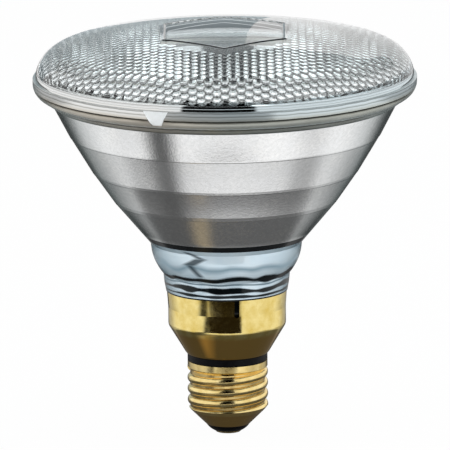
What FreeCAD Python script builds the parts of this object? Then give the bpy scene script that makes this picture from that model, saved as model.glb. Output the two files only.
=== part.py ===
import FreeCAD, Part
import os
import re
import Sketcher

# A sealed glass spotlight lamp on a skirted screw base, in millimetres.
# The lamp stands lens up: the origin is the tip of the centre contact, on the lamp's
# axis, and +Z runs along that axis to the lens. The slit of the skirt nearest the
# front looks along -Y.

DIMENSIONS = (
    # Heights of the base, each from the one below it, starting at the contact's tip
    ("insulator_foot_height", 1.3),
    ("shell_lip_rise", 2.1),
    ("shell_cone_rise", 4.9),
    ("shell_body_rise", 16.2),
    ("ring_height", 2.55),
    ("skirt_foot_lift", 0.55),
    ("skirt_cone_rise", 8.9),
    ("skirt_wall_rise", 6.0),
    ("skirt_flare_rise", 5.3),
    # Heights of the bowl's neck, going on up from the skirt's top edge
    ("neck_collar_rise", 2.5),
    ("neck_waist_rise", 3.3),
    ("neck_rise", 9.1),
    ("cone_foot_land", 0.9),
    # Centre contact and its insulator
    ("insulator_top_rise", 1.3),
    ("insulator_hole_radius", 1.2),
    ("insulator_foot_inset", 2.3),
    ("insulator_foot_bulge", 6.0),
    ("plate_inset", 0.6),
    ("plate_wall", 0.7),
    ("plate_hole_radius", 1.0),
    ("solder_radius", 2.2),
    ("solder_flat_radius", 0.8),
    # Screw shell
    ("shell_wall", 0.35),
    ("shell_inset", 4.95),
    ("collar_radius", 12.95),
    ("collar_height", 2.0),
    ("collar_taper", 1.0),
    ("thread_root_step", 0.8),
    ("thread_depth", 0.9),
    ("thread_pitch", 3.629),
    ("thread_crest_width", 2.9),
    ("thread_top_drop", 4.1),
    ("thread_turns", 4.5),
    ("thread_hollow_turns", 3.0),
    ("thread_fade_height", 2.4),
    # Insulator ring
    ("ring_wall", 3.35),
    ("ring_spigot_wall", 1.4),
    ("ring_top_spigot", 2.4),
    ("ring_bottom_spigot", 1.8),
    ("ring_bevel", 0.25),
    # Base skirt
    ("skirt_radius", 19.05),
    ("skirt_flare", 0.4),
    ("skirt_foot_flare", 0.75),
    ("skirt_corner_round", 2.5),
    ("skirt_wall", 0.45),
    ("slit_azimuth", 9.5),
    ("slit_width", 1.6),
    ("slit_depth", 6.0),
    ("slit_foot_bulge", 0.15),
    ("slit_count", 4),
    # Reflector bowl, outside
    ("seat_overhang", 0.25),
    ("neck_collar_swell", 0.45),
    ("neck_waist_swell", 0.8),
    ("neck_bulge_radius", 16.0),
    ("cone_foot_swell", 3.9),
    ("cone_angle", 34.175),
    ("band_one_reach", 0.8307),
    ("band_one_rise", 0.7787),
    ("band_two_reach", 0.5974),
    ("band_two_rise", 0.5184),
    ("band_three_reach", 0.3738),
    ("band_three_rise", 0.3015),
    ("band_step", 0.25),
    # Reflector bowl, inside
    ("heel_gap", 0.25),
    ("heel_round", 2.5),
    ("floor_drop", 1.4),
    ("floor_wall", 5.0),
    ("neck_wall", 1.35),
    ("neck_bore_rise", 7.6),
    ("bore_floor_round", 2.0),
    ("mirror_foot_wall", 3.42),
    ("seal_land", 6.47),
    # Rim, where the bowl and the lens are sealed
    ("rim_radius", 61.9),
    ("rim_rise", 6.5),
    ("flange_overhang", 6.2),
    ("flange_round", 4.3),
    ("flange_angle", 68.0),
    ("seam_drop", 1.3),
    ("seam_bevel", 0.3),
    ("lip_rise", 1.8),
    ("lip_step", 0.75),
    # Front lens
    ("shoulder_drop", 0.98),
    ("shoulder_radius", 11.2),
    ("dome_radius", 250.0),
    ("lens_wall", 3.4),
    ("inner_dome_radius", 160.0),
    ("badge_half_width", 20.2),
    ("badge_side_half_length", 13.6),
    ("badge_half_length", 27.6),
    ("badge_bead_width", 1.3),
    ("badge_bead_height", 0.4),
    ("badge_root_depth", 2.4),
    ("lug_azimuth", 20.9),
    ("lug_top_width", 8.4),
    ("lug_foot_width", 3.0),
    ("lug_drop", 1.9),
    ("lug_depth", 1.6),
    ("lug_gap", 0.15),
    # Mount inside the bowl
    ("ferrule_offset", 8.5),
    ("ferrule_radius", 3.0),
    ("ferrule_wall", 0.4),
    ("ferrule_rise", 3.6),
    ("ferrule_cup_depth", 1.5),
    ("ferrule_flange_radius", 4.1),
    ("ferrule_flange_wall", 0.6),
    ("tube_radius", 2.7),
    ("tube_bore_radius", 1.5),
    ("tube_length", 9.0),
    ("lead_radius", 0.75),
    ("lead_splay", 1.2),
    ("lead_tip_length", 1.6),
    ("lead_elbow_rise", 2.0),
    ("bridge_drop", 8.9),
    ("bridge_radius", 1.9),
    ("bridge_overhang", 2.2),
    ("coil_radius", 1.1),
    ("coil_wire_radius", 0.17),
    ("leg_wire_radius", 0.24),
    ("coil_pitch", 1.9),
    ("coil_turns", 8),
    ("anchor_radius", 0.25),
    ("anchor_socket_depth", 1.2),
    # Wires in the base
    ("wire_radius", 0.3),
    ("wire_turn_rise", 5.4),
    ("wire_lean_drop", 6.9),
    ("wire_run_inset", 1.4),
    ("weld_radius", 0.8),
    ("weld_length", 1.25),
    # Clearance between pieces that meet, and how far a cut reaches past its piece
    ("fit_gap", 0.05),
    ("cut_margin", 1.0),
)

# Lengths that follow from the driving ones
DERIVED = {
    # Heights above the contact's tip
    "shell_lip_height": "insulator_foot_height + shell_lip_rise",
    "shell_bend_height": "shell_lip_height + shell_cone_rise",
    "shell_top_height": "shell_bend_height + shell_body_rise",
    "ring_top_height": "shell_top_height + ring_height",
    "skirt_foot_height": "ring_top_height + skirt_foot_lift",
    "skirt_corner_height": "skirt_foot_height + skirt_cone_rise",
    "skirt_waist_height": "skirt_corner_height + skirt_wall_rise",
    "skirt_top_height": "skirt_waist_height + skirt_flare_rise",
    "neck_collar_height": "skirt_top_height + neck_collar_rise",
    "neck_waist_height": "neck_collar_height + neck_waist_rise",
    "cone_foot_height": "neck_waist_height + neck_rise + cone_foot_land",
    "cone_rise": "cone_run / tan(cone_angle)",
    "band_three_height": "cone_foot_height + band_three_rise * cone_rise",
    "band_two_height": "cone_foot_height + band_two_rise * cone_rise",
    "band_one_height": "cone_foot_height + band_one_rise * cone_rise",
    "flange_root_height": "cone_foot_height + cone_rise",
    "rim_widest_height": "flange_root_height + rim_rise",
    "seam_height": "rim_widest_height - seam_drop",
    "lip_top_height": "rim_widest_height + lip_rise",
    "lug_foot_height": "seam_height - lug_drop",
    "shoulder_centre_height": "lip_top_height - shoulder_drop",
    "dome_centre_height": "shoulder_centre_height - shoulder_rise",
    "lens_apex_height": "dome_centre_height + dome_radius",
    # Base
    "plate_foot_height": "insulator_foot_height - plate_wall",
    "insulator_top_height": "shell_bend_height + insulator_top_rise",
    "insulator_foot_radius": "shell_lip_radius - insulator_foot_inset",
    "plate_radius": "insulator_foot_radius - plate_inset",
    "thread_root_radius": "collar_radius - thread_root_step",
    "shell_lip_radius": "thread_root_radius - shell_inset",
    "shell_bore_radius": "thread_root_radius - shell_wall",
    "collar_bore_radius": "collar_radius - shell_wall",
    "collar_foot_height": "shell_top_height - collar_height",
    "thread_top_height": "collar_foot_height - collar_taper",
    "thread_top_crest": "shell_top_height - thread_top_drop",
    "thread_start_height": "thread_top_crest - (thread_turns - 0.5) * thread_pitch",
    "thread_half_width": "thread_crest_width / 2",
    "thread_arc_radius": "(thread_depth^2 + thread_half_width^2) / (2 * thread_depth)",
    "thread_crest_bore_radius": "thread_root_radius + thread_depth - shell_wall",
    "thread_cut_radius": "thread_root_radius + thread_depth + cut_margin",
    "shell_slant": "sqrt(shell_cone_rise^2 + shell_inset^2)",
    "wall_across": "shell_wall * shell_slant / shell_cone_rise",
    "gap_across": "(shell_wall + fit_gap) * shell_slant / shell_cone_rise",
    "cone_rate": "shell_cone_rise / shell_inset",
    "ring_bore_radius": "collar_radius - ring_wall",
    "ring_spigot_radius": "ring_bore_radius + ring_spigot_wall",
    "skirt_bore_radius": "ring_spigot_radius + fit_gap",
    "skirt_top_radius": "skirt_radius + skirt_flare",
    "skirt_foot_radius": "collar_radius + skirt_foot_flare",
    "skirt_inset": "skirt_radius - skirt_foot_radius",
    "skirt_cone_wall": "skirt_wall * sqrt(1 + (skirt_inset / skirt_cone_rise)^2)",
    "skirt_inner_rise": "(skirt_cone_wall - skirt_wall) * skirt_cone_rise / skirt_inset",
    "skirt_inner_height": "skirt_corner_height + skirt_inner_rise",
    "slit_half_width": "slit_width / 2",
    "slit_foot_radius": "slit_half_width + slit_foot_bulge",
    # Reflector bowl
    "neck_seat_radius": "skirt_top_radius + seat_overhang",
    "neck_collar_radius": "neck_seat_radius + neck_collar_swell",
    "neck_waist_radius": "neck_seat_radius + neck_waist_swell",
    "cone_foot_radius": "neck_waist_radius + cone_foot_swell",
    "cone_run": "flange_root_radius - cone_foot_radius",
    "band_three_radius": "cone_foot_radius + band_three_reach * cone_run",
    "band_two_radius": "cone_foot_radius + band_two_reach * cone_run",
    "band_one_radius": "cone_foot_radius + band_one_reach * cone_run",
    "flange_root_radius": "rim_radius - flange_overhang",
    "flange_centre_radius": "rim_radius - flange_round",
    "flange_low_radius": "flange_centre_radius + flange_round * cos(flange_angle)",
    "flange_low_height": "rim_widest_height - flange_round * sin(flange_angle)",
    "seam_drop_lens": "seam_drop - seam_bevel",
    "seam_drop_bowl": "seam_drop + seam_bevel",
    "seam_radius_lens": "flange_centre_radius + sqrt(flange_round^2 - seam_drop_lens^2)",
    "seam_radius_bowl": "flange_centre_radius + sqrt(flange_round^2 - seam_drop_bowl^2)",
    "seam_face_radius": "seam_radius_bowl - seam_bevel",
    "heel_radius": "skirt_radius - skirt_wall - heel_gap",
    "neck_bore_radius": "heel_radius - neck_wall",
    "floor_top_height": "skirt_top_height - floor_drop",
    "floor_bottom_height": "floor_top_height - floor_wall",
    "neck_bore_height": "floor_top_height + neck_bore_rise",
    # The mirror is the parabola through the sealing land and the foot of the cone
    "mirror_rim_radius": "seam_face_radius - seal_land",
    "mirror_foot_radius": "cone_foot_radius - mirror_foot_wall",
    "mirror_depth": "seam_height - cone_foot_height",
    "mirror_width": "(mirror_rim_radius^2 - mirror_foot_radius^2) / mirror_depth",
    "mirror_focal_length": "mirror_width / 4",
    "mirror_vertex_height": "cone_foot_height - mirror_foot_radius^2 / mirror_width",
    "mirror_one_radius": "sqrt(mirror_width * (band_one_height - mirror_vertex_height))",
    "mirror_two_radius": "sqrt(mirror_width * (band_two_height - mirror_vertex_height))",
    "mirror_three_radius": "sqrt(mirror_width * (band_three_height - mirror_vertex_height))",
    "mirror_between_low": "(mirror_foot_radius + mirror_three_radius) / 2",
    "mirror_between_mid": "(mirror_three_radius + mirror_two_radius) / 2",
    "mirror_between_top": "(mirror_two_radius + mirror_one_radius) / 2",
    "mirror_between_rim": "(mirror_one_radius + mirror_rim_radius) / 2",
    "focus_height": "mirror_vertex_height + mirror_focal_length",
    # Front lens
    "shoulder_centre_radius": "rim_radius - lip_step - shoulder_radius",
    "shoulder_foot_radius": "shoulder_centre_radius + sqrt(shoulder_radius^2 - shoulder_drop^2)",
    "blend_reach": "dome_radius - shoulder_radius",
    "shoulder_rise": "sqrt(blend_reach^2 - shoulder_centre_radius^2)",
    "inner_apex_height": "lens_apex_height - lens_wall",
    "inner_side_radius": "shoulder_centre_radius + shoulder_radius - lens_wall",
    "inner_dome_drop": "inner_dome_radius - sqrt(inner_dome_radius^2 - inner_side_radius^2)",
    "blend_radius_out": "shoulder_centre_radius * dome_radius / blend_reach",
    "blend_height_out": "dome_centre_height + shoulder_rise * dome_radius / blend_reach",
    "badge_slope": "(badge_half_length - badge_side_half_length) / badge_half_width",
    "badge_inner_half_width": "badge_half_width - badge_bead_width",
    "badge_inner_half_length": "badge_half_length - badge_bead_width * sqrt(1 + badge_slope^2)",
    "badge_inner_side": "badge_inner_half_length - badge_inner_half_width * badge_slope",
    "lug_reach": "rim_radius - lug_depth",
    # Mount inside the bowl
    "ferrule_top_height": "floor_bottom_height + ferrule_rise",
    "ferrule_bottom_height": "floor_bottom_height - ferrule_cup_depth",
    "cup_floor_height": "ferrule_bottom_height + ferrule_wall",
    "tube_round_height": "floor_bottom_height - tube_length + tube_radius",
    "bridge_height": "focus_height - bridge_drop",
    "bridge_reach": "ferrule_offset + bridge_overhang",
    "lead_top_height": "focus_height - coil_radius - leg_wire_radius - fit_gap",
    "lead_top_offset": "ferrule_offset + lead_splay",
    "lead_elbow_height": "bridge_height + bridge_radius + lead_elbow_rise",
    "coil_length": "coil_pitch * coil_turns",
    "leg_length": "lead_top_offset - coil_length / 2 + lead_radius",
    "loop_radius": "coil_radius + coil_wire_radius + anchor_radius + 2 * fit_gap",
    "anchor_foot_height": "bridge_height + bridge_radius - anchor_socket_depth",
    # Wires in the base
    "wire_turn_height": "insulator_top_height + wire_turn_rise",
    "wire_lean_height": "ferrule_bottom_height - wire_lean_drop",
    "wire_run_radius": "ring_bore_radius - wire_run_inset",
    "wire_run_height": "ring_top_height + ring_top_spigot",
    "weld_outer_reach": "sqrt(shell_bore_radius^2 - weld_radius^2) - fit_gap",
    "weld_inner_reach": "weld_outer_reach - weld_length",
    "weld_height": "thread_top_crest - thread_pitch / 2",
}

doc = FreeCAD.newDocument("par_spotlight_bulb")
sheet = doc.addObject("Spreadsheet::Sheet", "Dims")
for row, (alias, number) in enumerate(DIMENSIONS, start=1):
    sheet.set("A%d" % row, alias)
    sheet.set("B%d" % row, str(number))
    sheet.setAlias("B%d" % row, alias)
doc.recompute()

SHEET_NAMES = [alias for alias, number in DIMENSIONS]

# Places nearer than this are the same place, and a cut smaller than this is no cut
SAME_PLACE = 0.01
LEAST_CUT = 0.001


def sized(text):
    """Write a formula of plain names as one that reads the sheet's cells."""
    def spell(match):
        word = match.group(0)
        if word in DERIVED:
            return "(" + sized(DERIVED[word]) + ")"
        if word in SHEET_NAMES:
            return "Dims." + word
        return word
    return re.sub(r"[a-z][a-z_]+", spell, str(text))


def number(text):
    """Read a formula's present value."""
    return float(sheet.evalExpression(sized(text)))


def new_body(label):
    body = doc.addObject("PartDesign::Body", label)
    body.Label = label
    return body


def origin_plane(body, role):
    return [item for item in body.Origin.OriginFeatures if item.Role == role][0]


def new_sketch(body, name, role="XZ_Plane", height=None, turn="0", reach="0"):
    """Attach a sketch to one of the body's own planes, raised, or turned about the axis."""
    sketch = body.newObject("Sketcher::SketchObject", name)
    sketch.AttachmentSupport = [(origin_plane(body, role), "")]
    sketch.MapMode = "FlatFace"
    if height is not None:
        sketch.setExpression("AttachmentOffset.Base.z", sized(height))
    else:
        turned = FreeCAD.Rotation(FreeCAD.Vector(0, 1, 0), number(turn))
        outward = turned.multVec(FreeCAD.Vector(0, 0, number(reach)))
        sketch.AttachmentOffset = FreeCAD.Placement(outward, turned)
    return sketch


def bind(sketch, kind, spots, formula):
    """Add one dimension to a sketch and tie it to its formula."""
    index = sketch.addConstraint(Sketcher.Constraint(kind, *spots, number(formula)))
    sketch.setExpression("Constraints[%d]" % index, sized(formula))


def arc_between(start, end, radius, side):
    """The short arc from start to end; side +1 bulges to the left of the way, -1 to the right."""
    chord = end - start
    across = FreeCAD.Vector(-chord.y, chord.x, 0).normalize()
    rise = radius - (radius ** 2 - (chord.Length / 2) ** 2) ** 0.5
    middle = (start + end) * 0.5 + across * rise * side
    return Part.Arc(start, middle, end)


def draw_path(sketch, steps, closed=True):
    """Draw corners given as formulas; a step with a radius and a side arrives by an arc."""
    spots = [FreeCAD.Vector(number(step[0]), number(step[1]), 0) for step in steps]
    count = len(steps) if closed else len(steps) - 1
    ends = []
    for index in range(count):
        start = spots[index]
        end = spots[(index + 1) % len(spots)]
        step = steps[(index + 1) % len(steps)]
        if len(step) == 4:
            edge = sketch.addGeometry(arc_between(start, end, number(step[2]), step[3]), False)
            bind(sketch, "Radius", (edge,), step[2])
            counter_clockwise = step[3] < 0
            ends.append((edge, 1, 2) if counter_clockwise else (edge, 2, 1))
        else:
            edge = sketch.addGeometry(Part.LineSegment(start, end), False)
            ends.append((edge, 1, 2))
    for index, (edge, first, last) in enumerate(ends):
        if index + 1 < count or closed:
            follower = ends[(index + 1) % count]
            link = Sketcher.Constraint("Coincident", edge, last, follower[0], follower[1])
            sketch.addConstraint(link)
        bind(sketch, "DistanceX", (-1, 1, edge, first), steps[index][0])
        bind(sketch, "DistanceY", (-1, 1, edge, first), steps[index][1])
    if not closed:
        edge, first, last = ends[-1]
        bind(sketch, "DistanceX", (-1, 1, edge, last), steps[-1][0])
        bind(sketch, "DistanceY", (-1, 1, edge, last), steps[-1][1])
    return sketch


def turn_up(body, name, steps, kind="Revolution"):
    """Turn an outline of radius and height about the lamp's axis."""
    sketch = draw_path(new_sketch(body, name + "_outline"), steps)
    feature = body.newObject("PartDesign::" + kind, name)
    feature.Profile = (sketch, [""])
    feature.ReferenceAxis = (sketch, ["V_Axis"])
    feature.Angle = 360.0
    doc.recompute()
    return feature


def circle_at(sketch, across, along, radius):
    centre = FreeCAD.Vector(number(across), number(along), 0)
    edge = sketch.addGeometry(Part.Circle(centre, FreeCAD.Vector(0, 0, 1), number(radius)), False)
    bind(sketch, "DistanceX", (-1, 1, edge, 3), across)
    bind(sketch, "DistanceY", (-1, 1, edge, 3), along)
    bind(sketch, "Radius", (edge,), radius)
    return edge


def bent_wire(label, steps, radius, start_height):
    """Sweep a round section along a path drawn in the XZ plane, from its foot at start_height."""
    body = new_body(label)
    route = draw_path(new_sketch(body, label + "_route"), steps, closed=False)
    section = new_sketch(body, label + "_section", "XY_Plane", height=start_height)
    circle_at(section, steps[0][0], "0", radius)
    pipe = body.newObject("PartDesign::AdditivePipe", label + "_rod")
    pipe.Profile = (section, [""])
    pipe.Spine = (route, [])
    pipe.Transition = "Round corner"
    doc.recompute()
    return body


def pad(body, name, sketch, length):
    feature = body.newObject("PartDesign::Pad", name)
    feature.Profile = (sketch, [""])
    feature.setExpression("Length", sized(length))
    doc.recompute()
    return feature


def pocket(body, name, sketch, length):
    """Cut away from the sketch along its normal, and check that the cut takes material."""
    before = body.Shape.Volume
    feature = body.newObject("PartDesign::Pocket", name)
    feature.Profile = (sketch, [""])
    feature.Reversed = True
    feature.setExpression("Length", sized(length))
    doc.recompute()
    if body.Shape.Volume > before - LEAST_CUT:
        raise ValueError(name + " removes nothing")
    return feature


def turn_out(body, name, steps):
    """Turn an outline about the axis and take it away, and check that it takes material."""
    before = body.Shape.Volume
    feature = turn_up(body, name, steps, kind="Groove")
    if body.Shape.Volume > before - LEAST_CUT:
        raise ValueError(name + " removes nothing")
    return feature


def lug_sketch(body, name, gap):
    """The tapered lug's face, standing just inside the rim and wider by the gap all round."""
    half_top = "(lug_top_width / 2 + %s)" % gap
    half_foot = "(lug_foot_width / 2 + %s)" % gap
    reach = "lug_reach - %s" % gap
    sketch = new_sketch(body, name + "_face", turn="0 - lug_azimuth", reach=reach)
    return draw_path(sketch, [
        ("0 - " + half_top, "lip_top_height"),
        ("0 - " + half_foot, "lug_foot_height - " + gap),
        (half_foot, "lug_foot_height - " + gap),
        (half_top, "lip_top_height"),
    ])


# Front lens: a pressed glass dome with a rounded shoulder and a rim lip. A raised
# six-sided bead frames the bare badge, and a small tapered lug hangs over the seam.
def front_lens():
    body = new_body("lens_glass")
    pad(body, "lens_lug", lug_sketch(body, "lens_lug", "0"), "lug_depth + cut_margin")
    turn_out(body, "lug_skin", [
        ("rim_radius", "lip_top_height + cut_margin"),
        ("rim_radius", "rim_widest_height"),
        ("rim_radius - lug_depth / 2", "lug_foot_height - cut_margin"),
        ("rim_radius + 2 * cut_margin", "lug_foot_height - cut_margin"),
        ("rim_radius + 2 * cut_margin", "lip_top_height + cut_margin"),
    ])
    turn_up(body, "lens_shell", [
        ("0", "lens_apex_height"),
        ("blend_radius_out", "blend_height_out", "dome_radius", 1),
        ("shoulder_foot_radius", "lip_top_height", "shoulder_radius", 1),
        ("rim_radius", "lip_top_height"),
        ("rim_radius", "rim_widest_height"),
        ("seam_radius_lens", "seam_height + seam_bevel", "flange_round", 1),
        ("seam_face_radius", "seam_height"),
        ("inner_side_radius", "seam_height"),
        ("inner_side_radius", "inner_apex_height - inner_dome_drop"),
        ("0", "inner_apex_height", "inner_dome_radius", -1),
    ])
    post = new_body("badge_post")
    ring = new_sketch(post, "badge_ring", "XY_Plane", height="lens_apex_height - badge_root_depth")
    six_corners(ring, "badge_half_width", "badge_side_half_length", "badge_half_length")
    six_corners(ring, "badge_inner_half_width", "badge_inner_side", "badge_inner_half_length")
    pad(post, "badge_walls", ring, "badge_root_depth + badge_bead_height + cut_margin")
    crown = doc.addObject("Part::Sphere", "badge_crown")
    crown.setExpression("Radius", sized("dome_radius + badge_bead_height"))
    crown.setExpression("Placement.Base.z", sized("dome_centre_height"))
    bead = doc.addObject("Part::Common", "badge_bead")
    bead.Base = post
    bead.Tool = crown
    lens = doc.addObject("Part::Fuse", "front_lens")
    lens.Base = body
    lens.Tool = bead
    return lens


def six_corners(sketch, half_width, side, half_length):
    """A six-sided loop with one corner to the front and one to the back."""
    draw_path(sketch, [
        ("0", "0 - " + half_length),
        (half_width, "0 - " + side),
        (half_width, side),
        ("0", half_length),
        ("0 - " + half_width, side),
        ("0 - " + half_width, "0 - " + side),
    ])


# Reflector bowl: pressed glass in one piece, with the sealing flange, the banded cone,
# the clear neck and the heel. Its inside is a true parabola up to the neck.
def reflector_bowl():
    body = new_body("reflector_bowl")
    # The parabola's radius of curvature at one distance from the axis
    inner = "(2 * mirror_focal_length * (1 + (%s / mirror_focal_length / 2)^2)^1.5)"
    turn_up(body, "bowl_wall", [
        ("mirror_rim_radius", "seam_height", inner % "mirror_between_rim", -1),
        ("seam_face_radius", "seam_height"),
        ("seam_radius_bowl", "seam_height - seam_bevel"),
        ("flange_low_radius", "flange_low_height", "flange_round", 1),
        ("flange_root_radius", "flange_root_height"),
        ("band_one_radius", "band_one_height"),
        ("band_one_radius - band_step", "band_one_height - band_step"),
        ("band_two_radius", "band_two_height"),
        ("band_two_radius - band_step", "band_two_height - band_step"),
        ("band_three_radius", "band_three_height"),
        ("band_three_radius - band_step", "band_three_height - band_step"),
        ("cone_foot_radius", "cone_foot_height"),
        ("cone_foot_radius", "cone_foot_height - cone_foot_land"),
        ("neck_waist_radius", "neck_waist_height", "neck_bulge_radius", 1),
        ("neck_collar_radius", "neck_collar_height"),
        ("neck_seat_radius", "skirt_top_height"),
        ("heel_radius", "skirt_top_height"),
        ("heel_radius", "floor_bottom_height + heel_round"),
        ("heel_radius - heel_round", "floor_bottom_height", "heel_round", 1),
        ("tube_bore_radius", "floor_bottom_height"),
        ("tube_bore_radius", "floor_top_height"),
        ("neck_bore_radius - bore_floor_round", "floor_top_height"),
        ("neck_bore_radius", "floor_top_height + bore_floor_round", "bore_floor_round", -1),
        ("neck_bore_radius", "neck_bore_height"),
        ("mirror_foot_radius", "cone_foot_height"),
        ("mirror_three_radius", "band_three_height", inner % "mirror_between_low", -1),
        ("mirror_two_radius", "band_two_height", inner % "mirror_between_mid", -1),
        ("mirror_one_radius", "band_one_height", inner % "mirror_between_top", -1),
    ])
    holes = new_sketch(body, "ferrule_holes", "XY_Plane", height="floor_bottom_height")
    circle_at(holes, "ferrule_offset", "0", "ferrule_radius + fit_gap")
    circle_at(holes, "0 - ferrule_offset", "0", "ferrule_radius + fit_gap")
    pocket(body, "ferrule_bores", holes, "floor_wall")
    pocket(body, "lug_notch", lug_sketch(body, "lug_notch", "lug_gap"), "lug_depth * 2")
    return body


# Exhaust tube: the drawn-off glass stub under the middle of the heel, sealed at its tip.
def exhaust_tube():
    body = new_body("exhaust_tube")
    turn_up(body, "tube_wall", [
        ("tube_bore_radius", "floor_bottom_height"),
        ("tube_radius", "floor_bottom_height"),
        ("tube_radius", "tube_round_height"),
        ("0", "tube_round_height - tube_radius", "tube_radius", 1),
        ("0", "tube_round_height"),
        ("tube_bore_radius", "tube_round_height + tube_radius"),
    ])
    return body


# Ferrule: a thin metal thimble that seals each lead through the floor of the bowl.
def ferrule(label, side):
    body = new_body(label)
    turn_up(body, label + "_cup", [
        ("0", "ferrule_bottom_height"),
        ("ferrule_radius", "ferrule_bottom_height"),
        ("ferrule_radius", "floor_bottom_height - ferrule_flange_wall"),
        ("ferrule_flange_radius", "floor_bottom_height - ferrule_flange_wall"),
        ("ferrule_flange_radius", "floor_bottom_height"),
        ("ferrule_radius", "floor_bottom_height"),
        ("ferrule_radius", "ferrule_top_height"),
        ("ferrule_radius - ferrule_wall", "ferrule_top_height"),
        ("ferrule_radius - ferrule_wall", "cup_floor_height"),
        ("0", "cup_floor_height"),
    ])
    body.setExpression("Placement.Base.x", sized("ferrule_offset * %d" % side))
    return body


# Lead support: a stiff wire from the ferrule's floor up to the end of the filament.
def lead_support(label, side):
    return bent_wire(label, [
        ("ferrule_offset * %d" % side, "cup_floor_height"),
        ("ferrule_offset * %d" % side, "lead_elbow_height"),
        ("lead_top_offset * %d" % side, "lead_top_height - lead_tip_length"),
        ("lead_top_offset * %d" % side, "lead_top_height"),
    ], "lead_radius", "cup_floor_height")


# Glass bridge: the rod that holds both leads apart and carries the anchor.
def glass_bridge():
    body = new_body("glass_bridge")
    section = new_sketch(body, "bridge_section", "YZ_Plane", height="0 - bridge_reach")
    circle_at(section, "0", "bridge_height", "bridge_radius")
    pad(body, "bridge_rod", section, "bridge_reach * 2")
    holes = new_sketch(body, "lead_holes", "XY_Plane", height="bridge_height - bridge_radius - cut_margin")
    circle_at(holes, "ferrule_offset", "0", "lead_radius + fit_gap")
    circle_at(holes, "0 - ferrule_offset", "0", "lead_radius + fit_gap")
    pocket(body, "lead_bores", holes, "2 * (bridge_radius + cut_margin)")
    socket = new_sketch(body, "anchor_hole", "XY_Plane", height="anchor_foot_height")
    circle_at(socket, "0", "0", "anchor_radius + fit_gap")
    pocket(body, "anchor_socket", socket, "anchor_socket_depth + cut_margin")
    return body


# Filament anchor: a fine wire whose loop steadies the middle of the filament.
def filament_anchor():
    stem = doc.addObject("Part::Cylinder", "anchor_stem")
    stem.setExpression("Radius", sized("anchor_radius"))
    stem.setExpression("Height", sized("focus_height - loop_radius - anchor_foot_height"))
    stem.setExpression("Placement.Base.z", sized("anchor_foot_height"))
    loop = doc.addObject("Part::Torus", "anchor_loop")
    loop.setExpression("Radius1", sized("loop_radius"))
    loop.setExpression("Radius2", sized("anchor_radius"))
    loop.Placement.Rotation = FreeCAD.Rotation(FreeCAD.Vector(0, 1, 0), -90)
    loop.setExpression("Placement.Base.z", sized("focus_height"))
    anchor = doc.addObject("Part::Fuse", "filament_anchor")
    anchor.Base = stem
    anchor.Tool = loop
    return anchor


# Filament: an open coil across the focus of the mirror, with a straight leg at each end.
# It is wound about its body's own Z axis and then laid along X.
def filament():
    body = new_body("filament")
    section = new_sketch(body, "coil_section")
    circle_at(section, "coil_radius", "0", "coil_wire_radius")
    coil = body.newObject("PartDesign::AdditiveHelix", "coil")
    coil.Profile = (section, [""])
    coil.ReferenceAxis = (section, ["V_Axis"])
    coil.Mode = "pitch-turns-angle"
    coil.setExpression("Pitch", sized("coil_pitch"))
    coil.setExpression("Turns", sized("coil_turns"))
    doc.recompute()
    foot_of_high_leg = "coil_length - coil_wire_radius"
    for name, height in (("leg_low", "0 - leg_length"), ("leg_high", foot_of_high_leg)):
        leg = new_sketch(body, name + "_section", "XY_Plane", height=height)
        circle_at(leg, "coil_radius", "0", "leg_wire_radius")
        pad(body, name, leg, "leg_length + coil_wire_radius")
    body.Placement.Rotation = FreeCAD.Rotation(FreeCAD.Vector(0, 1, 0), 90)
    body.setExpression("Placement.Base.x", sized("0 - coil_length / 2"))
    body.setExpression("Placement.Base.z", sized("focus_height"))
    return body


# Base skirt: thin spun brass, a slightly flared cup on a cone, slit four times at its
# top edge. The top edge stands against the glass seat and the foot lies on the ring.
def base_skirt():
    body = new_body("base_skirt")
    turn_up(body, "skirt_wall_turned", [
        ("skirt_top_radius", "skirt_top_height"),
        ("skirt_radius", "skirt_waist_height"),
        ("skirt_radius", "skirt_corner_height"),
        ("skirt_foot_radius", "skirt_foot_height"),
        ("skirt_foot_radius - skirt_wall", "ring_top_height"),
        ("skirt_bore_radius", "ring_top_height"),
        ("skirt_bore_radius", "ring_top_height + skirt_wall"),
        ("skirt_foot_radius - skirt_cone_wall", "skirt_foot_height"),
        ("skirt_radius - skirt_wall", "skirt_inner_height"),
        ("skirt_radius - skirt_wall", "skirt_waist_height"),
        ("skirt_top_radius - skirt_wall", "skirt_top_height"),
    ])
    rings = edges_on_ring(body, "skirt_radius", "skirt_corner_height")
    rings += edges_on_ring(body, "skirt_radius - skirt_wall", "skirt_inner_height")
    corner = body.newObject("PartDesign::Fillet", "skirt_corner")
    corner.Base = (body.Group[-2], rings)
    corner.setExpression("Radius", sized("skirt_corner_round"))
    doc.recompute()
    slit = new_sketch(body, "slit_face", turn="slit_azimuth")
    draw_path(slit, [
        ("slit_half_width", "skirt_top_height + cut_margin"),
        ("0 - slit_half_width", "skirt_top_height + cut_margin"),
        ("0 - slit_half_width", "skirt_top_height - slit_depth + slit_half_width"),
        ("slit_half_width", "skirt_top_height - slit_depth + slit_half_width", "slit_foot_radius", -1),
    ])
    cut = pocket(body, "slit", slit, "skirt_top_radius + cut_margin")
    pattern = body.newObject("PartDesign::PolarPattern", "slits")
    pattern.Originals = [cut]
    pattern.Axis = (origin_plane(body, "Z_Axis"), [""])
    pattern.Angle = 360.0
    pattern.setExpression("Occurrences", "Dims.slit_count")
    body.Tip = pattern
    doc.recompute()
    return body


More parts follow.
